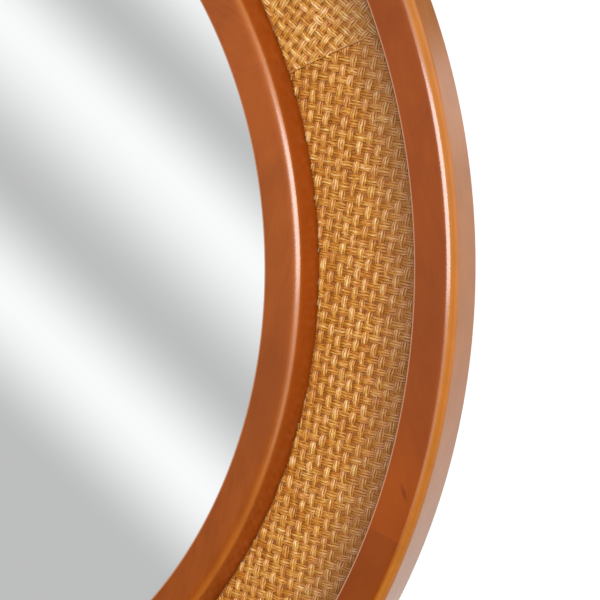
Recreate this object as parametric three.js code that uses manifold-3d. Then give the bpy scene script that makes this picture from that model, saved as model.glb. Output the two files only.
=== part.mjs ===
import * as THREE from 'three';
import { mergeVertices } from 'three/addons/utils/BufferGeometryUtils.js';
import Module from 'manifold-3d';

// A round wall mirror: two turned wood rings with a crowned band of woven cane between them.
// Millimetres. The wall is the plane y = 0, the front faces -y and +z is up.
// Profiles are given as a radius and a height, and height is measured from the wall.

// Rings and cane band, from the mirror outwards
const mirrorOpeningRadius = 272;
const innerRingFaceWidth = 22.3;
const innerRingSlopeRun = 2.7;
const innerRingDepth = 29;
const innerRingRidgeRound = 3;
const caneBandWidth = 61;
const outerRingWidth = 23;
const outerRingDepth = 26;
const outerRingRound = 5;
const arrisEase = 0.8;

// Board, glass and cane
const boardThickness = 9;
const boardRebateWidth = 8;
const glassThickness = 4;
const glassRebateWidth = 8;
const glassEdgeRoom = 1;
const bedEdgeThickness = 4.8;
const caneCrown = 3;
const caneThickness = 1.6;
const caneEdgeRoom = 1;
const canePanelCount = 6;
const firstSeamAngle = 18.5;

// Keyhole hangers let into the back of the board
const hangerAngle = 42.5;
const hangerInset = 66;
const hangerLength = 48;
const hangerWidth = 18;
const hangerThickness = 1.5;
const keyholeEntryRadius = 5;
const keyholeSlotRadius = 2.6;
const keyholeDrop = 11;
const keyholePocketDepth = 7.5;
const keyholePocketRoom = 1.2;
const screwEndInset = 6;
const screwLength = 7;
const screwShankRadius = 1.6;
const screwHeadRadius = 3.5;
const screwHeadDepth = 1.9;

// Gap left between pieces that touch, and how finely the round forms are cut
const fitGap = 0.3;
const ringSides = 80;
const easeSteps = 2;
const roundSteps = 4;
const crownSteps = 4;
const smallSides = 16;

// Heights above the wall
const boardFront = boardThickness;
const seatHeight = boardFront + fitGap;
const glassFront = seatHeight + glassThickness;
const lipBack = glassFront + fitGap;
const bedEdgeFront = seatHeight + bedEdgeThickness;
const caneBack = bedEdgeFront + fitGap;
const caneEdgeFront = caneBack + caneThickness;

// Radii
const glassRebateRadius = mirrorOpeningRadius + glassRebateWidth;
const glassRadius = glassRebateRadius - glassEdgeRoom;
const ridgeRadius = mirrorOpeningRadius + innerRingFaceWidth;
const innerRingRadius = ridgeRadius + innerRingSlopeRun;
const outerRingInnerRadius = innerRingRadius + caneBandWidth;
const outerRingRadius = outerRingInnerRadius + outerRingWidth;
const boardRadius = outerRingInnerRadius + boardRebateWidth;
const bandMiddleRadius = innerRingRadius + caneBandWidth / 2;

const wasm = await Module();
wasm.setup();

// Profiles and solids of revolution

// Turns a list of corners [radius, height, rounding] into points, with an arc at each rounded corner.
function roundedProfile(corners) {
  const points = [];
  corners.forEach(([radius, height, rounding = 0], index) => {
    const arcSteps = rounding > arrisEase ? roundSteps : easeSteps;
    const corner = new THREE.Vector2(radius, height);
    if (rounding === 0) {
      points.push(corner);
      return;
    }
    const [previousRadius, previousHeight] = corners[(index + corners.length - 1) % corners.length];
    const [nextRadius, nextHeight] = corners[(index + 1) % corners.length];
    const toPrevious = new THREE.Vector2(previousRadius, previousHeight).sub(corner).normalize();
    const toNext = new THREE.Vector2(nextRadius, nextHeight).sub(corner).normalize();
    const halfAngle = Math.acos(toPrevious.dot(toNext)) / 2;
    const middle = toPrevious.clone().add(toNext).normalize();
    const centre = corner.clone().addScaledVector(middle, rounding / Math.sin(halfAngle));
    const tangentLength = rounding / Math.tan(halfAngle);
    const start = corner.clone().addScaledVector(toPrevious, tangentLength).sub(centre);
    const end = corner.clone().addScaledVector(toNext, tangentLength).sub(centre);
    const turn = Math.atan2(start.cross(end), start.dot(end));
    for (let step = 0; step <= arcSteps; step += 1) {
      const spoke = start.clone().rotateAround(new THREE.Vector2(), turn * step / arcSteps);
      points.push(spoke.add(centre));
    }
  });
  return points;
}

// A closed ring from a profile that runs up the inside, across the front and down the outside.
function turnedRing(profile) {
  const outline = [...profile, profile[0]].map((point) => new THREE.Vector2(point.x, -point.y));
  return new THREE.LatheGeometry(outline, ringSides);
}

// A solid on the axis, from a profile that runs from the front of the axis round to the back of it.
function turnedSolid(profile, sides) {
  const outline = profile.map(([radius, height]) => new THREE.Vector2(radius, -height));
  return new THREE.LatheGeometry(outline, sides);
}

// A plate from an outline in the plane of the wall, from one height to another.
function plateOf(outline, backHeight, frontHeight, curveSegments = 6) {
  const depth = frontHeight - backHeight;
  const geometry = new THREE.ExtrudeGeometry(outline, { depth, bevelEnabled: false, curveSegments });
  geometry.rotateX(Math.PI / 2);
  geometry.translate(0, -backHeight, 0);
  return geometry;
}

// Joins and cuts

function toSolid(geometry) {
  const bare = geometry.clone();
  bare.deleteAttribute('normal');
  bare.deleteAttribute('uv');
  const merged = mergeVertices(bare, 1e-4);
  const vertProperties = new Float32Array(merged.attributes.position.array);
  const triVerts = new Uint32Array(merged.index.array);
  return new wasm.Manifold(new wasm.Mesh({ numProp: 3, vertProperties, triVerts }));
}

function toGeometry(solid) {
  const mesh = solid.getMesh();
  const geometry = new THREE.BufferGeometry();
  geometry.setAttribute('position', new THREE.BufferAttribute(new Float32Array(mesh.vertProperties), 3));
  geometry.setIndex(new THREE.BufferAttribute(new Uint32Array(mesh.triVerts), 1));
  geometry.computeVertexNormals();
  return geometry;
}

// Materials

const stainedWood = { color: 0x9a4f27, roughness: 0.3, metalness: 0 };
const wovenCane = { color: 0xc8924f, roughness: 0.6, metalness: 0 };
const silverMirror = { color: 0xe6e8ea, roughness: 0.02, metalness: 1 };
const blackBoard = { color: 0x2b2724, roughness: 0.8, metalness: 0 };
const rawBoard = { color: 0xa8845c, roughness: 0.85, metalness: 0 };
const plateBrass = { color: 0xb08d4e, roughness: 0.35, metalness: 1 };
const screwSteel = { color: 0xb9bcc0, roughness: 0.3, metalness: 1 };

const mirror = new THREE.Group();

function addPiece(name, geometry, finish, parent = mirror) {
  const mesh = new THREE.Mesh(geometry, new THREE.MeshStandardMaterial(finish));
  mesh.name = name;
  parent.add(mesh);
  return mesh;
}

// Outer ring, rebated at the back for the board

function outerRingProfile() {
  const rebateRadius = boardRadius + fitGap;
  return roundedProfile([
    [rebateRadius, 0],
    [rebateRadius, seatHeight],
    [outerRingInnerRadius, seatHeight],
    [outerRingInnerRadius, outerRingDepth, arrisEase],
    [outerRingRadius, outerRingDepth, outerRingRound],
    [outerRingRadius, 0, arrisEase],
  ]);
}

addPiece('outer_ring', turnedRing(outerRingProfile()), stainedWood);

// Inner ring, rebated at the back for the glass, with a steep slope down to the cane

function innerRingProfile() {
  return roundedProfile([
    [glassRebateRadius, seatHeight],
    [glassRebateRadius, lipBack],
    [mirrorOpeningRadius, lipBack],
    [mirrorOpeningRadius, innerRingDepth, arrisEase],
    [ridgeRadius, innerRingDepth, innerRingRidgeRound],
    [innerRingRadius, caneEdgeFront],
    [innerRingRadius, seatHeight],
  ]);
}

addPiece('inner_ring', turnedRing(innerRingProfile()), stainedWood);

// Crowned bed that the cane is glued to

// The rise of the crown above its two edges.
function crownRise(radius) {
  const share = (radius - bandMiddleRadius) / (caneBandWidth / 2);
  return caneCrown * (1 - share * share);
}

// Points of a crowned surface from one radius to another, at a height above the wall at its edges.
function crownedLine(fromRadius, toRadius, edgeHeight) {
  const points = [];
  for (let step = 0; step <= crownSteps; step += 1) {
    const radius = THREE.MathUtils.lerp(fromRadius, toRadius, step / crownSteps);
    points.push(new THREE.Vector2(radius, edgeHeight + crownRise(radius)));
  }
  return points;
}

const bedInnerRadius = innerRingRadius + fitGap;
const bandOuterRadius = outerRingInnerRadius - fitGap;

function bedProfile() {
  const outerBack = new THREE.Vector2(bandOuterRadius, seatHeight);
  const innerBack = new THREE.Vector2(bedInnerRadius, seatHeight);
  return [...crownedLine(bedInnerRadius, bandOuterRadius, bedEdgeFront), outerBack, innerBack];
}

addPiece('cane_bed', turnedRing(bedProfile()), rawBoard);

// Cane panels, cut as sectors of the band and butted at their seams

function caneBandSolid() {
  const caneInnerRadius = innerRingRadius + caneEdgeRoom;
  const front = crownedLine(caneInnerRadius, bandOuterRadius, caneEdgeFront);
  const back = crownedLine(bandOuterRadius, caneInnerRadius, caneBack);
  return toSolid(turnedRing([...front, ...back]));
}

// A wedge between two seams, with half a gap left beside each one.
function seamWedge(middleAngle, spreadAngle) {
  const reach = 2 * outerRingRadius;
  const apex = fitGap / 2 / Math.sin(spreadAngle / 2);
  const corners = [middleAngle - spreadAngle / 2, middleAngle + spreadAngle / 2].map(
    (angle) => new THREE.Vector2(reach * Math.cos(angle), reach * Math.sin(angle)),
  );
  const tip = new THREE.Vector2(apex * Math.cos(middleAngle), apex * Math.sin(middleAngle));
  const outline = new THREE.Shape([tip, ...corners.map((corner) => corner.add(tip))]);
  return toSolid(plateOf(outline, 0, innerRingDepth + outerRingDepth));
}

const caneBand = caneBandSolid();
const panelAngle = 2 * Math.PI / canePanelCount;
for (let panel = 0; panel < canePanelCount; panel += 1) {
  const middleAngle = THREE.MathUtils.degToRad(firstSeamAngle) + (panel - 0.5) * panelAngle;
  const cut = caneBand.intersect(seamWedge(middleAngle, panelAngle));
  addPiece(`cane_panel_${panel + 1}`, toGeometry(cut), wovenCane);
}

// Mirror glass, held between the board and the inner ring's lip

// A flat round disc between two heights.
function discOf(radius, backHeight, frontHeight) {
  const profile = [[0, frontHeight], [radius, frontHeight], [radius, backHeight], [0, backHeight]];
  return turnedSolid(profile, ringSides);
}

addPiece('mirror_glass', discOf(glassRadius, seatHeight, glassFront), silverMirror);

// Keyhole hangers. Each is drawn upright about its own centre and then set into place.

const hangerRadius = boardRadius - hangerInset;
const hangerPlaces = [-1, 1].map((side) => {
  const angle = THREE.MathUtils.degToRad(hangerAngle) * side;
  return new THREE.Vector3(hangerRadius * Math.sin(angle), 0, hangerRadius * Math.cos(angle));
});
const keyholeCentreDrop = keyholeDrop / 2;

// A slot with round ends, from one height to another up the plate.
function roundSlot(radius, bottom, top) {
  const slot = new THREE.Shape();
  slot.absarc(0, top, radius, 0, Math.PI, false);
  slot.absarc(0, bottom, radius, Math.PI, 2 * Math.PI, false);
  slot.closePath();
  return slot;
}

function hangerOutline(room) {
  const endRadius = hangerWidth / 2 + room;
  const endHeight = (hangerLength - hangerWidth) / 2;
  return roundSlot(endRadius, -endHeight, endHeight);
}

// The keyhole: a round entry for the screw's head, and a slot above it for the shank.
function keyholePath() {
  const keyhole = new THREE.Path();
  const shoulder = Math.acos(keyholeSlotRadius / keyholeEntryRadius);
  const entryStart = Math.PI - shoulder;
  const entryEnd = 2 * Math.PI + shoulder;
  keyhole.absarc(0, keyholeCentreDrop, keyholeSlotRadius, 0, Math.PI, false);
  keyhole.absarc(0, -keyholeCentreDrop, keyholeEntryRadius, entryStart, entryEnd, false);
  keyhole.closePath();
  return keyhole;
}

// A countersunk screw, driven from the back, grown by some room for the hole that takes it.
function screwForm(room) {
  const tip = screwLength + room;
  const shank = screwShankRadius + room;
  const head = screwHeadRadius + 2 * room;
  const headDepth = screwHeadDepth + room;
  const profile = [[0, tip], [shank, tip - shank], [shank, headDepth], [head, -room], [0, -room]];
  return turnedSolid(profile, smallSides);
}

const screwRise = hangerLength / 2 - screwEndInset;
const screwHeights = [-screwRise, screwRise];

function hangerPlate() {
  const outline = hangerOutline(0);
  outline.holes.push(keyholePath());
  const plate = toSolid(plateOf(outline, 0, hangerThickness));
  return screwHeights.reduce(
    (left, height) => left.subtract(toSolid(screwForm(fitGap)).translate([0, 0, height])),
    plate,
  );
}

// What the board loses for one hanger: a seat for the plate, a pocket for the wall screw's head, and holes.
function hangerRecess() {
  const lift = -fitGap;
  const seat = toSolid(plateOf(hangerOutline(fitGap), lift, hangerThickness + fitGap));
  const pocketRadius = keyholeEntryRadius + keyholePocketRoom;
  const pocketOutline = roundSlot(pocketRadius, -keyholeCentreDrop, keyholeCentreDrop);
  const pocket = toSolid(plateOf(pocketOutline, lift, keyholePocketDepth));
  return screwHeights.reduce(
    (recess, height) => recess.add(toSolid(screwForm(fitGap)).translate([0, 0, height])),
    seat.add(pocket),
  );
}

// Backing board, with the two hangers let into its back

function backBoard() {
  const recess = hangerRecess();
  const cut = hangerPlaces.reduce(
    (board, place) => board.subtract(recess.translate(place.toArray())),
    toSolid(discOf(boardRadius, 0, boardFront)),
  );
  return toGeometry(cut);
}

addPiece('back_board', backBoard(), blackBoard);

const hangerSides = ['left', 'right'];
hangerPlaces.forEach((place, index) => {
  const hanger = new THREE.Group();
  hanger.position.copy(place);
  mirror.add(hanger);
  addPiece(`hanger_plate_${hangerSides[index]}`, toGeometry(hangerPlate()), plateBrass, hanger);
  ['lower', 'upper'].forEach((level, row) => {
    const screw = addPiece(`hanger_screw_${hangerSides[index]}_${level}`, screwForm(0), screwSteel, hanger);
    screw.position.z = screwHeights[row];
  });
});

export default mirror;
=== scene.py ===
import math
import random

import bmesh
import bpy
import numpy as np
from mathutils import Matrix, Vector


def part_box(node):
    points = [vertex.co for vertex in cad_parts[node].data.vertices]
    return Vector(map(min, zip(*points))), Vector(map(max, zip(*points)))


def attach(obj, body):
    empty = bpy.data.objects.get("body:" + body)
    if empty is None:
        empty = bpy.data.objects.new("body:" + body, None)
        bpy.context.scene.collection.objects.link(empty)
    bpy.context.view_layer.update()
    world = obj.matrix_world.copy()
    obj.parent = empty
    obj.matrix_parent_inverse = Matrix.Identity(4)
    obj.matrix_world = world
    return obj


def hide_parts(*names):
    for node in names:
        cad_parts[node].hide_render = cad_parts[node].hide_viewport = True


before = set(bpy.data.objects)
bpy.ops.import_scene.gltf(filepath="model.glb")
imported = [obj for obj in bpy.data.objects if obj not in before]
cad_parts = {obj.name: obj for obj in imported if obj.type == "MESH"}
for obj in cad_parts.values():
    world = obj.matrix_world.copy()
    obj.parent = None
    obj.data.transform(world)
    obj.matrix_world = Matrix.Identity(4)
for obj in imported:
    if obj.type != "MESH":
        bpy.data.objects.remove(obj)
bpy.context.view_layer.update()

# A round wall mirror with wood rings and a woven cane band, dressed over its CAD frame.
# Metres. The wall is the plane y = 0, the front faces -y and +z is up.
# A height is a distance in front of the wall.

mm = 0.001
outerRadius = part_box("outer_ring")[1].x
outerDepth = -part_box("outer_ring")[0].y
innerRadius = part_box("inner_ring")[1].x
innerDepth = -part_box("inner_ring")[0].y
seatHeight = -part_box("inner_ring")[1].y
glassFront = -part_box("mirror_glass")[0].y
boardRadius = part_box("back_board")[1].x
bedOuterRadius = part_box("cane_bed")[1].x
mergeDistance = 0.001 * mm  # of points that are one


# Camera, as it stood for the photo

cameraView = {
    "target": (0.27683, 0, -0.02592),
    "distance": 0.97312,
    "yaw": 29.62,   # degrees to the right of straight on
    "pitch": 3.24,  # degrees above the level
    "roll": -1.31,
    "lens": 108,    # on a 36 mm sensor
}


def makeCamera(view):
    yaw, pitch, roll = (math.radians(view[key]) for key in ("yaw", "pitch", "roll"))
    back = Vector((math.sin(yaw) * math.cos(pitch), -math.cos(yaw) * math.cos(pitch), math.sin(pitch)))
    right = Vector((math.cos(yaw), math.sin(yaw), 0))
    up = back.cross(right)
    turn = Matrix.Rotation(roll, 3, back)
    axes = Matrix((turn @ right, turn @ up, back)).transposed()
    data = bpy.data.cameras.new("camera")
    data.lens = view["lens"]
    data.sensor_width = 36
    camera = bpy.data.objects.new("camera", data)
    camera.matrix_world = Matrix.Translation(Vector(view["target"]) + back * view["distance"]) @ axes.to_4x4()
    bpy.context.scene.collection.objects.link(camera)
    bpy.context.scene.camera = camera
    return camera


camera = makeCamera(cameraView)
print("camera set")


# Node helpers

def addNode(tree, kind, values=None, **settings):
    node = tree.nodes.new(kind)
    for key, value in settings.items():
        setattr(node, key, value)
    for key, value in (values or {}).items():
        node.inputs[key].default_value = value
    return node


# A socket in the list is linked, any other value is set.
def fillSockets(tree, sockets, values):
    for socket, value in zip(sockets, values):
        if isinstance(value, bpy.types.NodeSocket):
            tree.links.new(value, socket)
        elif value is not None:
            socket.default_value = value


def mathNode(tree, operation, *values):
    node = addNode(tree, "ShaderNodeMath", operation=operation)
    fillSockets(tree, node.inputs, values)
    return node.outputs[0]


def vectorNode(tree, operation, *values):
    node = addNode(tree, "ShaderNodeVectorMath", operation=operation)
    fillSockets(tree, node.inputs, values)
    return node.outputs["Value" if operation in ("LENGTH", "DOT_PRODUCT") else "Vector"]


def mixColor(tree, factor, first, second, blend="MIX"):
    node = addNode(tree, "ShaderNodeMix", data_type="RGBA", blend_type=blend)
    fillSockets(tree, (node.inputs[0], node.inputs[6], node.inputs[7]), (factor, first, second))
    return node.outputs[2]


# A value carried from one range to another, which is 0 to 1 if it isn't given.
def rangeNode(tree, value, *limits, interpolation="LINEAR"):
    names = ("From Min", "From Max", "To Min", "To Max")
    node = addNode(tree, "ShaderNodeMapRange", dict(zip(names, limits)), interpolation_type=interpolation)
    tree.links.new(value, node.inputs["Value"])
    return node.outputs[0]


def noiseNode(tree, place, values, **settings):
    node = addNode(tree, "ShaderNodeTexNoise", values, **settings)
    tree.links.new(place, node.inputs["Vector"])
    return node.outputs["Fac"]


def rampNode(tree, factor, stops, interpolation="LINEAR"):
    node = addNode(tree, "ShaderNodeValToRGB")
    node.color_ramp.interpolation = interpolation
    elements = node.color_ramp.elements
    while len(elements) < len(stops):
        elements.new(0.5)
    for element, (position, color) in zip(elements, stops):
        element.position = position
        element.color = color if len(color) == 4 else (*color, 1)
    tree.links.new(factor, node.inputs[0])
    return node.outputs[0]


def grey(value):
    return (value, value, value, 1)


def newGroup(name, inputs, outputs):
    tree = bpy.data.node_groups.new(name, "ShaderNodeTree")
    for socketName, socketType, default in inputs:
        socket = tree.interface.new_socket(socketName, in_out="INPUT", socket_type=socketType)
        socket.default_value = default
    for socketName, socketType in outputs:
        tree.interface.new_socket(socketName, in_out="OUTPUT", socket_type=socketType)
    return tree, tree.nodes.new("NodeGroupInput"), tree.nodes.new("NodeGroupOutput")


def newMaterial(name, values):
    material = bpy.data.materials.new(name)
    material.use_nodes = True
    tree = material.node_tree
    shader = tree.nodes["Principled BSDF"]
    for key, value in values.items():
        shader.inputs[key].default_value = value
    return material, tree, shader


def addBump(tree, shader, height, strength, distance):
    bump = addNode(tree, "ShaderNodeBump", {"Strength": strength, "Distance": distance})
    tree.links.new(height, bump.inputs["Height"])
    tree.links.new(bump.outputs[0], shader.inputs["Normal"])


def placeGroup(tree, group, values):
    node = addNode(tree, "ShaderNodeGroup", node_tree=group)
    for key, value in values.items():
        node.inputs[key].default_value = value
    return node


def objectPlace(tree):
    return addNode(tree, "ShaderNodeTexCoord").outputs["Object"]


def splitPlace(tree, place):
    parts = addNode(tree, "ShaderNodeSeparateXYZ")
    tree.links.new(place, parts.inputs[0])
    return parts.outputs


# How far a place is from the mirror's axis.
def axisDistance(tree):
    flat = vectorNode(tree, "MULTIPLY", objectPlace(tree), (1, 0, 1))
    return vectorNode(tree, "LENGTH", flat)


# How far a place is out past one radius on the way to another.
def outMask(tree, start, end):
    return rangeNode(tree, axisDistance(tree), start, end)


# Wood: grain along each glued segment, a tone for each segment and a fine dark joint

woodGrain = {
    # each noise is (stretch along x, y and z, detail, roughness, distortion, limits, share of the tone)
    "layers": {
        "board": ((34, 30, 12), 3, 0.5, 0.8, (0.3, 0.7), 0.4),
        "streak": ((520, 420, 34), 3, 0.55, 0, (0.3, 0.7), 0.24),
        "cloud": ((75, 60, 48), 2, 0.45, 0.5, (0.32, 0.68), 0.36),
    },
    "pores": ((1900, 1500, 110), 2, 0.5, 0),
    "poreLimits": (0.26, 0.42),
    "poreDepth": 0.2,
    "segmentStep": 1.7,      # from one segment's place in the noise to the next
    "jointWidth": 0.0006,    # each side, as a share of a segment
}


def makeWoodGroup(grain):
    tree, source, sink = newGroup(
        "woodSegments",
        [
            ("Segments", "NodeSocketFloat", 5),
            ("First Joint", "NodeSocketFloat", 0),
            ("Seed", "NodeSocketFloat", 0),
            ("Light Wood", "NodeSocketColor", grey(0.5)),
            ("Dark Wood", "NodeSocketColor", grey(0.1)),
            ("Vein", "NodeSocketColor", grey(0.05)),
        ],
        [("Color", "NodeSocketColor"), ("Grain", "NodeSocketFloat"), ("Joint", "NodeSocketFloat"),
         ("Segment", "NodeSocketFloat")],
    )
    place = objectPlace(tree)
    parts = splitPlace(tree, place)
    angle = mathNode(tree, "ARCTAN2", parts["Z"], parts["X"])
    fromJoint = mathNode(tree, "SUBTRACT", angle, source.outputs["First Joint"])
    turns = mathNode(tree, "FRACT", mathNode(tree, "DIVIDE", fromJoint, 2 * math.pi))
    counted = mathNode(tree, "MULTIPLY", turns, source.outputs["Segments"])
    segment = mathNode(tree, "FLOOR", counted)
    across = mathNode(tree, "FRACT", counted)

    # each segment's board runs square to the segment's middle line
    middle = mathNode(tree, "DIVIDE", mathNode(tree, "ADD", segment, 0.5), source.outputs["Segments"])
    boardAngle = mathNode(tree, "MULTIPLY_ADD", middle, 2 * math.pi, source.outputs["First Joint"])
    turned = addNode(tree, "ShaderNodeVectorRotate", rotation_type="Y_AXIS")
    tree.links.new(place, turned.inputs["Vector"])
    tree.links.new(boardAngle, turned.inputs["Angle"])
    shift = addNode(tree, "ShaderNodeCombineXYZ")
    along = mathNode(tree, "MULTIPLY_ADD", segment, grain["segmentStep"], source.outputs["Seed"])
    tree.links.new(along, shift.inputs["Y"])
    board = vectorNode(tree, "ADD", turned.outputs[0], shift.outputs[0])

    def grainNoise(stretch, detail, roughness, distortion):
        values = {"Scale": 1, "Detail": detail, "Roughness": roughness, "Distortion": distortion}
        return noiseNode(tree, vectorNode(tree, "MULTIPLY", board, stretch), values)

    tone = 0
    for *noise, (low, high), share in grain["layers"].values():
        layer = rampNode(tree, grainNoise(*noise), [(low, grey(0)), (high, grey(1))])
        tone = mathNode(tree, "MULTIPLY_ADD", layer, share, tone)
    wood = mixColor(tree, tone, source.outputs["Dark Wood"], source.outputs["Light Wood"])
    low, high = grain["poreLimits"]
    poreMask = rampNode(tree, grainNoise(*grain["pores"]), [(low, grey(1)), (high, grey(0))])
    poreFactor = mathNode(tree, "MULTIPLY", poreMask, grain["poreDepth"])
    color = mixColor(tree, poreFactor, wood, source.outputs["Vein"])

    # the joint is a hair line at both ends of a segment
    toEdge = mathNode(tree, "MINIMUM", across, mathNode(tree, "SUBTRACT", 1, across))
    joint = mathNode(tree, "LESS_THAN", toEdge, grain["jointWidth"])
    tree.links.new(color, sink.inputs["Color"])
    tree.links.new(tone, sink.inputs["Grain"])
    tree.links.new(joint, sink.inputs["Joint"])
    tree.links.new(segment, sink.inputs["Segment"])
    return tree


woodGroup = makeWoodGroup(woodGrain)

woodFinish = {
    "light": (0.45, 0.1, 0.011, 1),
    "dark": (0.32, 0.062, 0.006, 1),
    "vein": (0.12, 0.022, 0.005, 1),
    # pale line on the sharp front edges: a painted highlight
    "arrisHighlight": (0.66, 0.33, 0.2, 1),
    "glow": (1, 0.55, 0.25, 1),  # tint of the broad gloss under the clear lacquer
    "arrisHighlightLimits": (1.1 * mm, 0.7 * mm),  # from where the painted highlight line fades in to where it is full
    "arrisHighlightDepth": 0.8,
    "jointDepth": 0.3,
    "flankGrain": 0.76,  # brightness of the dark grain on the flanks, against the light grain
    "roughness": 0.45,
    "grainRoughness": -0.06,  # added where the wood is light
    "specular": 0.14,
    "bump": (0.06, 0.3 * mm),
    "segments": 5,
    # flanks are (where one starts, where it is full, how full, color):
    # the stain is thin over the outer ring's round and outer side, and deep on the inner ring's slope; the
    # light band over the inner ring's ridge is a painted highlight
    # marks are soft spots in the wood:
    # (x, z, half length and half width in mm, degrees turned, how full, color)
    "outer": {
        "joint": -23.3,  # degrees
        "tones": (0.69, 0.74, 0.7, 0.78, 0.6),
        "seed": 0.0,
        "tint": (1, 0.91, 0.6, 1),
        "marks": [
            (363, -42, 62, 26, -7, 0.4, (0.21, 0.042, 0.004, 1)),
            (342, -126, 44, 22, -20, 0.5, (0.36, 0.068, 0.003, 1)),
            (350, -122.5, 7, 1.6, 19, 0.6, (0.12, 0.022, 0.002, 1)),
        ],
        "coatRoughness": 0.16,
        "flanks": [
            (outerRadius - 4.6 * mm, outerRadius - 2.6 * mm, 0.85, (0.56, 0.19, 0.025, 1)),
            (outerRadius - 1.3 * mm, outerRadius - 0.45 * mm, 0.95, (0.68, 0.235, 0.056, 1)),
        ],
    },
    "inner": {
        "joint": 20.2,
        "tones": (0.84, 0.78, 0.82, 0.76, 0.77),
        "seed": 9.3,
        "tint": (1.01, 1.04, 1, 1),
        "marks": [
            (268, 80, 50, 24, 17, 0.35, (0.46, 0.1, 0.011, 1)),
            (269, -73, 56, 24, -15, 0.45, (0.21, 0.042, 0.004, 1)),
        ],
        "coatRoughness": 0.2,
        "flanks": [
            # painted highlight along the inner ring's ridge
            (innerRadius - 7.5 * mm, innerRadius - 5 * mm, 0.45, (0.58, 0.18, 0.024, 1)),
            (innerRadius - 4.2 * mm, innerRadius - 3.2 * mm, 0.88, (0.35, 0.055, 0.002, 1)),
        ],
    },
}


# Each sharp front edge gets a fine pale line, a painted highlight.
def arrisHighlightMask(tree, radius, height, limits):
    aside = mathNode(tree, "ABSOLUTE", mathNode(tree, "SUBTRACT", axisDistance(tree), radius))
    below = mathNode(tree, "ADD", splitPlace(tree, objectPlace(tree))["Y"], height)
    return rangeNode(tree, mathNode(tree, "ADD", aside, below), *limits)


# One soft long spot on a ring's front: 0 at its edge and 1 near its middle.
def markMask(tree, x, z, halfLength, halfWidth, lean):
    moved = vectorNode(tree, "SUBTRACT", objectPlace(tree), (x * mm, 0, z * mm))
    turned = addNode(tree, "ShaderNodeVectorRotate", {"Angle": math.radians(lean)}, rotation_type="Y_AXIS")
    tree.links.new(moved, turned.inputs["Vector"])
    shrink = (1 / (halfWidth * mm), 0, 1 / (halfLength * mm))
    away = vectorNode(tree, "LENGTH", vectorNode(tree, "MULTIPLY", turned.outputs[0], shrink))
    return rangeNode(tree, away, 1, 0.1, interpolation="SMOOTHSTEP")


def makeWood(name, finish, ring, arrisHighlight):
    material, tree, shader = newMaterial(name, {
        "Coat Weight": 1,
        "Coat Roughness": ring["coatRoughness"],
        "Specular IOR Level": finish["specular"],
        "Specular Tint": finish["glow"],
    })
    wood = placeGroup(tree, woodGroup, {
        "Segments": finish["segments"],
        "First Joint": math.radians(ring["joint"]),
        "Seed": ring["seed"],
        "Light Wood": finish["light"],
        "Dark Wood": finish["dark"],
        "Vein": finish["vein"],
    }).outputs
    share = mathNode(tree, "DIVIDE", mathNode(tree, "ADD", wood["Segment"], 0.5), finish["segments"])
    # a ramp holds no more than 1, so the tones are halved in it and doubled after it
    stops = [(index / finish["segments"], grey(tone / 2)) for index, tone in enumerate(ring["tones"])]
    tone = mixColor(tree, 1.0, rampNode(tree, share, stops, "CONSTANT"), grey(2), "MULTIPLY")
    color = mixColor(tree, 1.0, wood["Color"], tone, "MULTIPLY")
    color = mixColor(tree, 1.0, color, ring["tint"], "MULTIPLY")
    onJoint = mathNode(tree, "MULTIPLY", wood["Joint"], finish["jointDepth"])
    color = mixColor(tree, onJoint, color, finish["vein"])
    for *spot, fullness, stain in ring["marks"]:
        color = mixColor(tree, mathNode(tree, "MULTIPLY", markMask(tree, *spot), fullness), color, stain)
    # flanks: stain on the outer round, the outer side and the inner slope, and a painted highlight on the
    # inner ridge
    for start, end, fullness, stain in ring["flanks"]:
        onFlank = mathNode(tree, "MULTIPLY", outMask(tree, start, end), fullness)
        deep = [channel * finish["flankGrain"] for channel in stain[:3]] + [1]
        color = mixColor(tree, onFlank, color, mixColor(tree, wood["Grain"], deep, stain))
    # the painted highlight along the sharp front edges
    onArrisHighlight = mathNode(tree, "MULTIPLY", arrisHighlightMask(tree, *arrisHighlight, finish["arrisHighlightLimits"]), finish["arrisHighlightDepth"])
    tree.links.new(mixColor(tree, onArrisHighlight, color, finish["arrisHighlight"]), shader.inputs["Base Color"])
    roughness = mathNode(tree, "MULTIPLY_ADD", wood["Grain"], finish["grainRoughness"], finish["roughness"])
    tree.links.new(roughness, shader.inputs["Roughness"])
    addBump(tree, shader, wood["Grain"], *finish["bump"])
    return material


# rolls are the arcs that the front turns through, each with its radius and the degrees turned by its end
outerRing = {
    "faceWidth": 23 * mm,
    "rolls": [(7 * mm, 36), (5.6 * mm, 90)],
    "ease": 0.8 * mm,
    "rebateRoom": 0.3 * mm,
}
innerRing = {
    "opening": 272 * mm,
    "glassRebate": 8 * mm,
    "faceWidth": 15.1 * mm,  # flat part
    "rolls": [(12 * mm, 20), (8 * mm, 36)],
    "ease": 0.8 * mm,
    "slopeFoot": 16 * mm,
    "lipRoom": 0.3 * mm,
}
outerInnerRadius = outerRadius - outerRing["faceWidth"]
outerWood = makeWood("outerWood", woodFinish, woodFinish["outer"], (outerInnerRadius, outerDepth))
innerWood = makeWood("innerWood", woodFinish, woodFinish["inner"], (innerRing["opening"], innerDepth))
print("wood finishes made")


# Wood rings, turned from a profile of (radius, height, rounding) corners

ringBuild = {"turnSteps": 360, "rollSteps": 7, "easeSegments": 3, "smoothAngle": 32}


def newPiece(name, bm, material, smoothAngle=None):
    mesh = bpy.data.meshes.new(name)
    bm.to_mesh(mesh)
    bm.free()
    mesh.materials.append(material)
    piece = bpy.data.objects.new(name, mesh)
    bpy.context.scene.collection.objects.link(piece)
    if smoothAngle:
        mesh.shade_smooth()
        mesh.set_sharp_from_angle(angle=math.radians(smoothAngle))
    return piece


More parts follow.
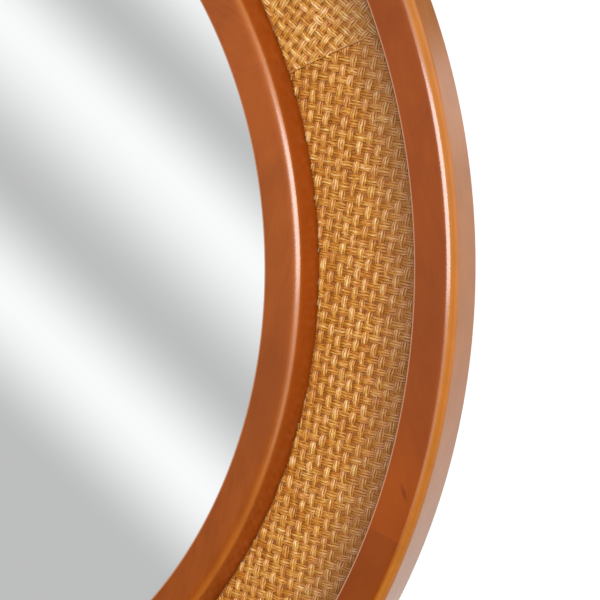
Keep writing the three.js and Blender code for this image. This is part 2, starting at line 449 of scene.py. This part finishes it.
def turnRing(name, corners, build, material):
    bm = bmesh.new()
    points = [bm.verts.new((radius, -height, 0)) for radius, height, _ in corners]
    for first, second in zip(points, points[1:] + points[:1]):
        bm.edges.new((first, second))
    for point, (_, _, rounding) in zip(points, corners):
        if rounding:
            bmesh.ops.bevel(
                bm, geom=[point], offset=rounding, affect="VERTICES", segments=build["easeSegments"],
                profile=0.5, material=-1,
            )
    bmesh.ops.spin(
        bm, geom=bm.verts[:] + bm.edges[:], cent=(0, 0, 0), axis=(0, 1, 0),
        angle=2 * math.pi, steps=build["turnSteps"], use_merge=True,
    )
    bmesh.ops.remove_doubles(bm, verts=bm.verts[:], dist=mergeDistance)
    bmesh.ops.recalc_face_normals(bm, faces=bm.faces[:])
    piece = newPiece(name, bm, material, build["smoothAngle"])
    weighted = piece.modifiers.new("weighted", "WEIGHTED_NORMAL")
    weighted.keep_sharp = True
    return piece


# The corners along a row of arcs, from a flat front at one height.
def rollCorners(rolls, start, height, steps):
    corners = [(start, height, 0)]
    turned = 0
    for arcRadius, arcEnd in rolls:
        out, top, _ = corners[-1]
        begin, reach = math.radians(turned), math.radians(arcEnd - turned)
        for step in range(1, steps + 1):
            turn = begin + reach * step / steps
            drop = arcRadius * (math.cos(begin) - math.cos(turn))
            corners.append((out + arcRadius * (math.sin(turn) - math.sin(begin)), top - drop, 0))
        turned = arcEnd
    return corners


rebateRadius = boardRadius + outerRing["rebateRoom"]
outerRoll = rollCorners(outerRing["rolls"], 0, outerDepth, ringBuild["rollSteps"])
outerShift = outerRadius - outerRoll[-1][0]
outerPiece = turnRing(
    "outer_wood_ring",
    [
        (rebateRadius, 0, 0),
        (rebateRadius, seatHeight, 0),
        (outerInnerRadius, seatHeight, 0),
        (outerInnerRadius, outerDepth, outerRing["ease"]),
        *((outerShift + out, height, 0) for out, height, _ in outerRoll),
        (outerRadius, 0, outerRing["ease"]),
    ],
    ringBuild,
    outerWood,
)
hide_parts("outer_ring")

rollStart = innerRing["opening"] + innerRing["faceWidth"]
innerRoll = rollCorners(innerRing["rolls"], rollStart, innerDepth, ringBuild["rollSteps"])
glassRebateRadius = innerRing["opening"] + innerRing["glassRebate"]
lipBack = glassFront + innerRing["lipRoom"]
innerPiece = turnRing(
    "inner_wood_ring",
    [
        (glassRebateRadius, seatHeight, 0),
        (glassRebateRadius, lipBack, 0),
        (innerRing["opening"], lipBack, 0),
        (innerRing["opening"], innerDepth, innerRing["ease"]),
        *innerRoll,
        (innerRadius, innerRing["slopeFoot"], 0),
        (innerRadius, seatHeight, 0),
    ],
    ringBuild,
    innerWood,
)
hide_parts("inner_ring")
for piece in (outerPiece, innerPiece):
    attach(piece, "root")
print("wood rings turned")


# Woven cane: each strand is a bundle of thin splints, in a plain weave square to its panel's middle line

cane = {
    "panels": 6,
    "firstSeam": 18.5,       # degrees
    "seamGap": 0.5 * mm,
    "smoothAngle": 60,
    "pitch": 5.38 * mm,      # from one strand to the next
    "rise": 0.5 * mm,        # of a strand over and under its middle height
    "splintWidth": 1.5 * mm,
    # a splint's section: (share of half its width, height in mm)
    "splintOutline": [(-1, -0.16), (-0.7, 0.24), (0, 0.336), (0.7, 0.24), (1, -0.16)],
    "shoulder": 0.27,        # of a pitch, from a crossing to where the strand starts to dip
    "endRoom": 0.5 * mm,     # from a splint's end to the first point that it needs
    "lean": 0.35,            # mm, unevenness in the strands' spacing
    "wander": 0.3,           # mm, slow drift of a strand to the sides
    "wanderTurn": (60, 140),  # radians of that drift in a metre
    "wanderFrom": 9 * mm,    # shortest stretch that drifts
    "squeeze": (0.82, 1.08),  # how much closer or wider a strand's splints lie at a crossing
    "squeezeRepeat": 8,      # crossings, after which the same values come again
    "bulge": 0.16,           # mm, a strand's unevenness in height at a crossing
    "bulgeRepeat": 11,
    "waver": 0.14,           # mm, of each point to the sides
    "tremble": 0.04,         # mm, of each point in height
    "swell": (0.9, 1.08),    # of each point's width
    "overSpread": 0.08,      # of a strand's splints where it lies on top, and as much closer where it dips
    "overSwell": 0.05,       # of a splint's width there
    "shortest": 1.5 * mm,
    "shades": 6,             # from brown to cream
    # the splints of a strand, each with its least and most shade number and its width and lift in mm
    "bundles": {
        "tangent": [(0, 3, 1.2, -0.02), (3, 5, 1.35, 0.2), (0, 3, 1.2, -0.02)],
        "radial": [(0, 3, 1.45, -0.1), (2, 5, 1.35, 0.02), (0, 3, 1.45, -0.1)],
    },
    "archPower": {"tangent": 0.3, "radial": 1.6},  # low for a flat top, high for a narrow crest
    "crown": 3 * mm,
    "edgeHeight": 15.2 * mm,  # of the weave's middle above the wall, at the band's edges
    "innerRoom": 0.7 * mm,
    "outerRoom": 1 * mm,
    "ragged": {"seam": 0.2, "ring": 0.9, "rim": 0.2},  # mm that a splint may end short
    # fine broken fibres, in mm, with their width from end to end as a share of a splint's
    "fibres": {
        "count": 110,
        "spread": 0.9,     # share of the panel's angle
        "crosswise": 0.3,  # share of them that lie along the other way
        "length": (4, 9),
        "rooms": (8, 10),  # at the inner and the outer edge
        "lift": 0.1,
        "arch": 0.35,
        "archWaver": (0.9, 1.1),
        "widths": [0.26, 0.24, 0.22, 0.2, 0.17, 0.12],
    },
    # along each seam: mm to the side, least and most height, thickness, shade; the pale one is a thread at
    # the cut edge, the dark one a painted shadow line in the gap
    "threads": {"pale": (0.45, 0.3, 1.1, 0.3, 0.9), "dark": (-0.1, 0.4, 0.8, 0.42, -1.6)},
    "threadSteps": 24,
    "threadWaver": 0.12,  # mm
    "threadLift": 0.1,    # mm
    "threadSwell": (0.7, 1.2),
    "threadRooms": (1.2 * mm, 0.8 * mm),  # at the inner and the outer edge
    "panelShades": (0, 0.3, 0.06, -0.03, 0.1, 0.02),
    "seed": 11,
}

bandInnerRadius = innerRadius
bandOuterRadius = bedOuterRadius
bandMiddleRadius = (bandInnerRadius + outerInnerRadius) / 2
bandHalfWidth = (outerInnerRadius - bandInnerRadius) / 2


# Height of the weave's middle at a distance from the mirror's middle
def crownHeight(radius):
    share = (radius - bandMiddleRadius) / bandHalfWidth
    return cane["edgeHeight"] + cane["crown"] * (1 - share * share)


def makeSplintSection():
    curve = bpy.data.curves.new("splintSection", "CURVE")
    curve.dimensions = "2D"
    outline = cane["splintOutline"]
    spline = curve.splines.new("POLY")
    spline.points.add(len(outline) - 1)
    for point, (share, height) in zip(spline.points, outline):
        point.co = (share * cane["splintWidth"] / 2, height * mm, 0, 1)
    spline.use_cyclic_u = True
    section = bpy.data.objects.new("splintSection", curve)
    bpy.context.scene.collection.objects.link(section)
    return section


# Height of a strand over the weave's middle: an arch over one crossing, a dip under the next.
def weaveRise(place, strand, power):
    turns = place / cane["pitch"]
    crossing = round(turns)
    side = 1 if (crossing + strand) % 2 == 0 else -1
    return side * cane["rise"] * max(math.cos(math.pi * (turns - crossing)), 0) ** power


# Where a splint has points: at each crossing and at both shoulders beside it.
def splintStops(start, end):
    pitch = cane["pitch"]
    room = cane["endRoom"]
    crossings = range(math.floor(start / pitch), math.ceil(end / pitch) + 1)
    places = [(crossing + side * cane["shoulder"]) * pitch for crossing in crossings for side in (-1, 0, 1)]
    return [start, *(place for place in places if start + room < place < end - room), end]


# The stretches of one straight splint that lie on a panel, whose two seams are half a sector to each side,
# each with what its two ends meet.
def radialStretches(across):
    fromSeam = (abs(across) + cane["seamGap"] / 2) / math.tan(math.pi / cane["panels"])
    inner = bandInnerRadius + cane["innerRoom"]
    fromRing = math.sqrt(max(inner ** 2 - across ** 2, 0))
    end = math.sqrt(max(bandOuterRadius ** 2 - across ** 2, 0))
    return [(max(fromSeam, fromRing), end, "seam" if fromSeam > fromRing else "ring", "rim")]


def tangentStretches(out):
    inner = bandInnerRadius + cane["innerRoom"]
    toSeam = out * math.tan(math.pi / cane["panels"]) - cane["seamGap"] / 2
    reach = min(toSeam, math.sqrt(max(bandOuterRadius ** 2 - out ** 2, 0)))
    if out >= inner:
        return [(-reach, reach, "seam", "seam")]
    start = math.sqrt(inner ** 2 - out ** 2)
    return [(-reach, -start, "seam", "ring"), (start, reach, "ring", "seam")]


def addSplint(curve, points, radii):
    spline = curve.splines.new("POLY")
    spline.points.add(len(points) - 1)
    flat = [value for point in points for value in (*point, 1)]
    spline.points.foreach_set("co", flat)
    spline.points.foreach_set("radius", radii)


def addStrand(curves, chance, family, strand, across):
    bundle = cane["bundles"][family]
    lean = chance.uniform(-1, 1) * cane["lean"] * mm
    wave, phase = chance.uniform(*cane["wanderTurn"]), chance.uniform(0, 2 * math.pi)
    squeeze = [chance.uniform(*cane["squeeze"]) for _ in range(cane["squeezeRepeat"])]
    bulge = [chance.uniform(-cane["bulge"], cane["bulge"]) * mm for _ in range(cane["bulgeRepeat"])]
    stretchesOf = radialStretches if family == "radial" else tangentStretches
    aside = -sum(width for _, _, width, _ in bundle) / 2 * mm
    for least, most, width, lift in bundle:
        curve = curves[chance.randint(least, most)]
        aside += width / 2 * mm
        for start, end, atStart, atEnd in stretchesOf(across + lean + aside):
            start += chance.uniform(0, cane["ragged"][atStart]) * mm
            end -= chance.uniform(0, cane["ragged"][atEnd]) * mm
            if end - start < cane["shortest"]:
                continue
            wander = cane["wander"] * mm if abs(end - start) > cane["wanderFrom"] else 0
            points = []
            radii = []
            for place in splintStops(start, end):
                rise = weaveRise(place, strand, cane["archPower"][family])
                over = rise / cane["rise"]
                crossing = round(place / cane["pitch"])
                spread = squeeze[crossing % len(squeeze)] + cane["overSpread"] * over
                drift = wander * math.sin(wave * place + phase)
                waver = chance.uniform(-cane["waver"], cane["waver"]) * mm
                sideways = across + lean + drift + aside * spread + waver
                tremble = chance.uniform(-cane["tremble"], cane["tremble"]) * mm
                uneven = bulge[crossing % len(bulge)] + tremble
                height = crownHeight(math.hypot(place, sideways)) + rise + lift * mm + uneven
                flat = (place, sideways) if family == "radial" else (sideways, place)
                points.append((*flat, height))
                swell = (1 + cane["overSwell"] * over) * chance.uniform(*cane["swell"])
                radii.append(width * mm / cane["splintWidth"] * swell)
            addSplint(curve, points, radii)
        aside += width / 2 * mm


def curvePiece(name, section):
    curve = bpy.data.curves.new(name, "CURVE")
    curve.dimensions = "3D"
    curve.bevel_mode = "OBJECT"
    curve.bevel_object = section
    curve.use_fill_caps = True
    curve.twist_mode = "Z_UP"
    return curve


# One curve for each shade of splint.
def weaveFamily(name, section, chance, family):
    curves = [curvePiece(f"{name}_{shade}", section) for shade in range(cane["shades"])]
    pitch = cane["pitch"]
    halfSector = math.pi / cane["panels"]
    if family == "radial":
        reach = bandOuterRadius * math.sin(halfSector)
        lowest, highest = math.ceil(-reach / pitch), math.floor(reach / pitch)
    else:
        lowest = math.ceil((bandInnerRadius + cane["innerRoom"]) * math.cos(halfSector) / pitch)
        highest = math.floor((bandOuterRadius - cane["outerRoom"]) / pitch)
    for strand in range(lowest, highest + 1):
        addStrand(curves, chance, family, strand if family == "radial" else strand + 1, strand * pitch)
    return curves


# A thin thread along one seam. The pale one lies at the cut edge; the dark one is a painted shadow line in
# the gap.
def seamThread(name, section, chance, thread):
    aside, lowest, highest, thickness, _ = thread
    curve = curvePiece(name, section)
    turn = math.pi / cane["panels"]
    out = Vector((math.cos(turn), -math.sin(turn)))
    side = Vector((math.sin(turn), math.cos(turn)))
    innerRoom, outerRoom = cane["threadRooms"]
    start = bandInnerRadius + innerRoom
    reach = bandOuterRadius - outerRoom - start
    points = []
    for step in range(cane["threadSteps"] + 1):
        radius = start + reach * step / cane["threadSteps"]
        waver = chance.uniform(-cane["threadWaver"], cane["threadWaver"])
        flat = out * radius + side * (aside + waver) * mm
        rise = cane["rise"] * chance.uniform(lowest, highest) + cane["threadLift"] * mm
        points.append((flat.x, flat.y, crownHeight(radius) + rise))
    addSplint(curve, points, [thickness * chance.uniform(*cane["threadSwell"]) for _ in points])
    return curve


# Fine broken fibres that stand a little off the weave.
def strayFibres(name, section, chance):
    fibres = cane["fibres"]
    curve = curvePiece(name, section)
    halfSector = math.pi / cane["panels"]
    innerRoom, outerRoom = fibres["rooms"]
    for _ in range(fibres["count"]):
        angle = chance.uniform(-halfSector, halfSector) * fibres["spread"]
        radius = chance.uniform(bandInnerRadius + innerRoom * mm, bandOuterRadius - outerRoom * mm)
        start = Vector((radius * math.cos(angle), radius * math.sin(angle)))
        way = Vector((0, 1)) if chance.random() < fibres["crosswise"] else Vector((1, 0))
        bend = Vector((way.y, way.x)) * chance.uniform(-1, 1) * mm
        length = chance.uniform(*fibres["length"]) * mm
        points = []
        for step in range(len(fibres["widths"])):
            share = step / (len(fibres["widths"]) - 1)
            flat = start + way * length * share + bend * share * share
            along = min(share * chance.uniform(*fibres["archWaver"]), 1)
            lift = fibres["lift"] + fibres["arch"] * math.sin(math.pi * along)
            height = crownHeight(flat.length) + cane["rise"] + lift * mm
            points.append((flat.x, flat.y, height))
        addSplint(curve, points, fibres["widths"])
    return curve


# A mesh of the curve, with its place along and across the strands as UV.
# Its rise and shade are attributes.
def bakeStrands(curve, family, shade, turn):
    carrier = bpy.data.objects.new(curve.name, curve)
    bpy.context.scene.collection.objects.link(carrier)
    graph = bpy.context.evaluated_depsgraph_get()
    mesh = bpy.data.meshes.new_from_object(carrier.evaluated_get(graph))
    bpy.data.objects.remove(carrier)
    bpy.data.curves.remove(curve)
    places = np.empty(len(mesh.vertices) * 3, dtype=np.float32)
    mesh.vertices.foreach_get("co", places)
    places = places.reshape(-1, 3)
    rise = (places[:, 2] - crownHeight(np.hypot(places[:, 0], places[:, 1]))) / cane["rise"]
    mesh.attributes.new("weaveRise", "FLOAT", "POINT").data.foreach_set("value", rise.astype(np.float32))
    shades = np.full(len(mesh.vertices), shade, dtype=np.float32)
    mesh.attributes.new("splintShade", "FLOAT", "POINT").data.foreach_set("value", shades)
    corners = np.empty(len(mesh.loops), dtype=np.int32)
    mesh.loops.foreach_get("vertex_index", corners)
    order = (0, 1) if family == "radial" else (1, 0)
    offset = (0, 0) if family == "radial" else (0, 1)
    uv = places[corners][:, order] + np.array(offset, dtype=np.float32)
    for layer in list(mesh.uv_layers):
        mesh.uv_layers.remove(layer)
    mesh.uv_layers.new(name="strand").data.foreach_set("uv", uv.astype(np.float32).ravel())
    mesh.transform(turn)
    return mesh


def weavePanel(number, section, material):
    chance = random.Random(cane["seed"] + number)
    middle = math.radians(cane["firstSeam"]) + (number - 1.5) * 2 * math.pi / cane["panels"]
    out = Vector((math.cos(middle), 0, math.sin(middle)))
    across = Vector((-math.sin(middle), 0, math.cos(middle)))
    turn = Matrix((out, across, Vector((0, -1, 0)))).transposed().to_4x4()
    curves = [
        (curve, family, shade / (cane["shades"] - 1))
        for family in ("radial", "tangent")
        for shade, curve in enumerate(weaveFamily(f"{family}_{number}", section, chance, family))
    ]
    curves.append((strayFibres(f"fibres_{number}", section, chance), "radial", 1))
    # the dark thread is a painted shadow line in each seam's gap
    for name, thread in cane["threads"].items():
        curves.append((seamThread(f"{name}_thread_{number}", section, chance, thread), "radial", thread[-1]))
    bm = bmesh.new()
    for curve, family, shade in curves:
        if not curve.splines:
            bpy.data.curves.remove(curve)
            continue
        mesh = bakeStrands(curve, family, shade + cane["panelShades"][number - 1], turn)
        bm.from_mesh(mesh)
        bpy.data.meshes.remove(mesh)
    bmesh.ops.remove_doubles(bm, verts=bm.verts[:], dist=mergeDistance)
    bmesh.ops.recalc_face_normals(bm, faces=bm.faces[:])
    piece = newPiece(f"woven_cane_{number}", bm, material, cane["smoothAngle"])
    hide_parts(f"cane_panel_{number}")
    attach(piece, "root")
    return piece


caneFinish = {
    # (share of the way from low, brown and dark to high, cream and light, color)
    "palette": [
        (0, (0.27, 0.07, 0.006, 1)),
        (0.35, (0.46, 0.155, 0.015, 1)),
        (0.65, (0.64, 0.31, 0.062, 1)),
        (1, (0.9, 0.64, 0.33, 1)),
    ],
    "riseShadingLimits": (-0.9, 1.3),  # of the rise, from darkest to lightest: painted shade in the dips and painted highlight on the crests
    "byRiseShading": 0.4,
    "byShade": 0.3,
    "byFibre": 0.46,
    "byPatch": 0.22,
    # stretch of each noise along and across the strands
    "fibre": (330, 2000),
    "patch": (90, 90),
    "hue": (210, 140),
    "noiseLimits": (0.3, 0.7),
    "yellow": (1, 1.03, 0.86, 1),    # slow drift in hue
    "pink": (1, 0.97, 1.12, 1),
    "rim": (0.25, 0.1, 0.03, 1),  # painted shade from the outer ring: darker and duller toward it
    "ringShadeWidth": 28 * mm,
    "footShade": (0.1, 0.03, 0.005, 1),  # painted shade at the foot of the inner ring
    "footShadeLimits": (2.4 * mm, 0.6 * mm),  # from where it fades in to where it is full
    "footShadeFullness": 0.75,
    "roughness": 0.45,
    "fibreRoughness": -0.12,  # added where a fibre is light
    "bump": (0.5, 0.2 * mm),
    "specular": 0.4,
}


def makeCane(finish):
    material, tree, shader = newMaterial("wovenCane", {"Specular IOR Level": finish["specular"]})
    strand = addNode(tree, "ShaderNodeUVMap", uv_map="strand").outputs[0]
    low, high = finish["noiseLimits"]

    def strandNoise(along, across, detail=2):
        stretched = vectorNode(tree, "MULTIPLY", strand, (along, across, 1))
        noise = noiseNode(tree, stretched, {"Scale": 1, "Detail": detail}, noise_dimensions="2D")
        return rampNode(tree, noise, [(low, grey(0)), (high, grey(1))])

    def attribute(name):
        return addNode(tree, "ShaderNodeAttribute", attribute_name=name).outputs["Fac"]

    fibre = strandNoise(*finish["fibre"])
    # painted shade where a strand dips under and painted highlight where it crests over
    height = rangeNode(tree, attribute("weaveRise"), *finish["riseShadingLimits"])
    level = -(finish["byFibre"] + finish["byPatch"]) / 2
    for value, share in (
        (attribute("splintShade"), finish["byShade"]),
        (height, finish["byRiseShading"]),
        (fibre, finish["byFibre"]),
        (strandNoise(*finish["patch"]), finish["byPatch"]),
    ):
        level = mathNode(tree, "MULTIPLY_ADD", value, share, level)
    hue = mixColor(tree, strandNoise(*finish["hue"], 1), finish["yellow"], finish["pink"])
    color = mixColor(tree, 1.0, rampNode(tree, level, finish["palette"]), hue, "MULTIPLY")
    # painted shade cast by the outer ring over the cane
    rim = outMask(tree, bandOuterRadius - finish["ringShadeWidth"], bandOuterRadius)
    color = mixColor(tree, rim, color, finish["rim"])
    # painted shade at the foot of the inner ring
    footShade = outMask(tree, *(innerRadius + limit for limit in finish["footShadeLimits"]))
    color = mixColor(tree, mathNode(tree, "MULTIPLY", footShade, finish["footShadeFullness"]), color, finish["footShade"])
    tree.links.new(color, shader.inputs["Base Color"])
    roughness = mathNode(tree, "MULTIPLY_ADD", fibre, finish["fibreRoughness"], finish["roughness"])
    tree.links.new(roughness, shader.inputs["Roughness"])
    addBump(tree, shader, fibre, *finish["bump"])
    return material


caneMaterial = makeCane(caneFinish)
section = makeSplintSection()
for number in range(1, cane["panels"] + 1):
    weavePanel(number, section, caneMaterial)
bpy.data.objects.remove(section)
print("cane woven")


# Board finishes, glass and hangers on the CAD nodes

boardFinish = {
    # (dark, light, roughness)
    "painted": ((0.018, 0.016, 0.015, 1), (0.045, 0.04, 0.036, 1), 0.62),
    "stained": ((0.27, 0.085, 0.01, 1), (0.4, 0.145, 0.024, 1), 0.8),
    "speck": {"Scale": 900, "Detail": 4, "Roughness": 0.6},
    "cloud": {"Scale": 6, "Detail": 3},
    "cloudShare": 0.6,
    "limits": (0.35, 0.65),
    "bump": (0.25, 0.2 * mm),
}


def makeBoard(name, finish, dark, light, roughness):
    material, tree, shader = newMaterial(name, {"Roughness": roughness})
    speck = noiseNode(tree, objectPlace(tree), finish["speck"])
    cloud = noiseNode(tree, objectPlace(tree), finish["cloud"])
    specks = mathNode(tree, "MULTIPLY", speck, 1 - finish["cloudShare"])
    level = mathNode(tree, "MULTIPLY_ADD", cloud, finish["cloudShare"], specks)
    color = rampNode(tree, level, list(zip(finish["limits"], (dark, light))))
    tree.links.new(color, shader.inputs["Base Color"])
    addBump(tree, shader, speck, *finish["bump"])
    return material


metalFinish = {
    # (light, dark, roughness)
    "brass": ((0.62, 0.43, 0.17, 1), (0.47, 0.3, 0.11, 1), 0.3),
    "steel": ((0.62, 0.63, 0.65, 1), (0.46, 0.47, 0.49, 1), 0.26),
    "brushing": (3000, 3000, 120),  # stretch along x, y and z
    "brushedRoughness": 0.2,
}


def makeMetal(name, finish, light, dark, roughness):
    material, tree, shader = newMaterial(name, {"Metallic": 1})
    stretched = vectorNode(tree, "MULTIPLY", objectPlace(tree), finish["brushing"])
    brushed = noiseNode(tree, stretched, {"Scale": 1, "Detail": 3})
    tree.links.new(mixColor(tree, brushed, light, dark), shader.inputs["Base Color"])
    uneven = mathNode(tree, "MULTIPLY_ADD", brushed, finish["brushedRoughness"], roughness)
    tree.links.new(uneven, shader.inputs["Roughness"])
    return material


glassFinish = {
    "silver": (0.96, 0.965, 0.97, 1),
    "rim": (0.88, 0.92, 0.9, 1),
    "rimLimits": (innerRing["opening"] - 10 * mm, innerRing["opening"] + 8 * mm),
}


# Silvered glass: a clean mirror with a trace of green toward its rim.
def makeMirror(finish):
    material, tree, shader = newMaterial("silverMirror", {"Metallic": 1, "Roughness": 0})
    silver = mixColor(tree, outMask(tree, *finish["rimLimits"]), finish["silver"], finish["rim"])
    tree.links.new(silver, shader.inputs["Base Color"])
    return material


def dress(material, *nodes):
    for node in nodes:
        mesh = bpy.data.objects[node].data
        mesh.materials.clear()
        mesh.materials.append(material)


dress(makeMirror(glassFinish), "mirror_glass")
dress(makeBoard("blackBoard", boardFinish, *boardFinish["painted"]), "back_board")
dress(makeBoard("stainedBed", boardFinish, *boardFinish["stained"]), "cane_bed")
plates = [f"hanger_plate_{side}" for side in ("left", "right")]
screws = [f"hanger_screw_{side}_{level}" for side in ("left", "right") for level in ("lower", "upper")]
dress(makeMetal("plateBrass", metalFinish, *metalFinish["brass"]), *plates)
dress(makeMetal("screwSteel", metalFinish, *metalFinish["steel"]), *screws)
print("board, glass and hangers dressed")


# Floor, lights and studio surroundings

studio = {
    "floorHeight": -1.4,
    "floorReach": 5.0,
    "floorTones": ((0.9, 0.9, 0.9, 1), (0.94, 0.94, 0.93, 1)),
    "floorGlow": 0.35,
    # each light is (from and to, in shares of the way right, behind or up, and its value at both)
    "mattRight": (-0.3, 0.9, 0.05, 0.62),  # what matt surfaces get
    "mattBehind": (0, 0.4, 1, 0.5),
    "mattUp": (-0.7, 0.7, 0, 1.7),
    "rearBehind": (0, 0.6, 0, 0.5),        # more of it where only the back and the far side see it
    "rearLeft": (0.1, -0.5, 0, 1),
    "glossRight": (0.2, 0.8, 0.42, 0.5),   # what the lacquer mirrors in front
    "glossLevel": (-0.4, 0, 0.03, 1),
    "glossBehind": (0.5, 0.8, 0, 1),       # where it mirrors the sweep behind instead
    "sweepLow": (-0.1, -0.45, 0.72, 1.1),
    "sweepPatch": (0.08, 0.2, 0, 0.4),     # added a little above level
    "sweepTop": (0.33, 0.24, 0, 1),
    "cameraGround": 1.05,
    "mirrorGrey": 0.535,   # the dark and the light stripes in the glass
    "mirrorPale": 0.985,
    "stripeSlope": 0.966,
    "focalPixels": 1800,
    "middlePixel": 300,    # of the photo, each way
    "stripeStart": -215,   # pixels down the photo's left edge
    "stripeEnd": 420,
}
# (share of the way from the first stripe to the last, is it pale)
stripes = [(0, True), (0.186, False), (0.362, True), (0.603, False), (0.795, True), (1, False)]
lamps = {
    "key": {"azimuth": 22, "elevation": 5, "distance": 2.0, "size": (1.1, 0.8), "radiance": 12.5},
    "skirt": {"azimuth": 23, "elevation": 0, "distance": 2.1, "size": (0.9, 2.4), "radiance": 1.8},
}


def makeFloor(settings):
    bm = bmesh.new()
    bmesh.ops.create_circle(bm, cap_ends=True, radius=settings["floorReach"], segments=96)
    bmesh.ops.translate(bm, verts=bm.verts[:], vec=(0, 0, settings["floorHeight"]))
    material, tree, shader = newMaterial("paleFloor", {
        "Roughness": 0.9,
        "Emission Color": (1, 1, 1, 1),
        "Emission Strength": settings["floorGlow"],
    })
    noise = noiseNode(tree, objectPlace(tree), {"Scale": 3, "Detail": 3})
    tree.links.new(mixColor(tree, noise, *settings["floorTones"]), shader.inputs["Base Color"])
    floor = newPiece("floor", bm, material)
    floor.visible_diffuse = False
    floor.visible_glossy = False
    return floor


def addLamp(name, azimuth, elevation, distance, size, radiance, aim=(0.3, 0, 0)):
    turn, lift = math.radians(azimuth), math.radians(elevation)
    back = Vector((math.sin(turn) * math.cos(lift), -math.cos(turn) * math.cos(lift), math.sin(lift)))
    data = bpy.data.lights.new(name, "AREA")
    data.shape = "RECTANGLE"
    data.size, data.size_y = size
    data.energy = radiance * math.pi * size[0] * size[1]
    lamp = bpy.data.objects.new(name, data)
    lamp.location = Vector(aim) + back * distance
    lamp.rotation_euler = back.to_track_quat("Z", "Y").to_euler()
    lamp.visible_camera = False
    bpy.context.scene.collection.objects.link(lamp)


# The studio seen in the mirror has soft diagonal stripes. Matt surfaces get their light from the right,
# and the lacquer mirrors a dim left side, a lighter right side and a pale sweep behind the mirror.
def makeWorld(settings, camera):
    world = bpy.data.worlds.new("studio")
    world.use_nodes = True
    bpy.context.scene.world = world
    tree = world.node_tree
    background = tree.nodes["Background"]
    direction = addNode(tree, "ShaderNodeTexCoord").outputs["Generated"]
    axes = camera.matrix_world.to_3x3()
    spacing = settings["stripeEnd"] - settings["stripeStart"]
    acrossStripes = (axes.col[1] + axes.col[0] * settings["stripeSlope"]) * -settings["focalPixels"] / spacing
    # the glass sends a ray back along y
    seen = Vector((acrossStripes.x, -acrossStripes.y, acrossStripes.z))
    middle = settings["middlePixel"] * (1 - settings["stripeSlope"])
    alongStripes = vectorNode(tree, "DOT_PRODUCT", direction, seen)
    share = mathNode(tree, "ADD", alongStripes, (middle - settings["stripeStart"]) / spacing)
    tones = {True: grey(settings["mirrorPale"]), False: grey(settings["mirrorGrey"])}
    mirrorTone = rampNode(tree, share, [(position, tones[pale]) for position, pale in stripes], "EASE")

    right, behind, up = splitPlace(tree, direction)

    def light(way, key, interpolation="SMOOTHSTEP"):
        return rangeNode(tree, way, *settings[key], interpolation=interpolation)

    matt = mathNode(tree, "MULTIPLY", light(right, "mattRight"), light(behind, "mattBehind"))
    matt = mathNode(tree, "MULTIPLY", matt, light(up, "mattUp", "LINEAR"))
    rear = mathNode(tree, "MULTIPLY", light(behind, "rearBehind"), light(right, "rearLeft"))
    matt = mathNode(tree, "ADD", matt, rear)
    front = mathNode(tree, "MULTIPLY", light(up, "glossLevel"), light(right, "glossRight"))
    sweep = mathNode(tree, "ADD", light(up, "sweepLow"), light(up, "sweepPatch"))
    sweep = mathNode(tree, "MULTIPLY", light(up, "sweepTop"), sweep)
    fromFront = mathNode(tree, "SUBTRACT", sweep, front)
    gloss = mathNode(tree, "MULTIPLY_ADD", fromFront, light(behind, "glossBehind"), front)

    path = addNode(tree, "ShaderNodeLightPath").outputs
    soft = mixColor(tree, path["Is Glossy Ray"], matt, gloss)
    mirrored = mixColor(tree, path["Is Singular Ray"], soft, mirrorTone)
    shown = mixColor(tree, path["Is Camera Ray"], mirrored, grey(settings["cameraGround"]))
    tree.links.new(shown, background.inputs["Color"])


makeFloor(studio)
for name, lamp in lamps.items():
    addLamp(name, **lamp)
makeWorld(studio, camera)
bpy.context.scene.view_settings.view_transform = "Standard"
print("stage and lights set")
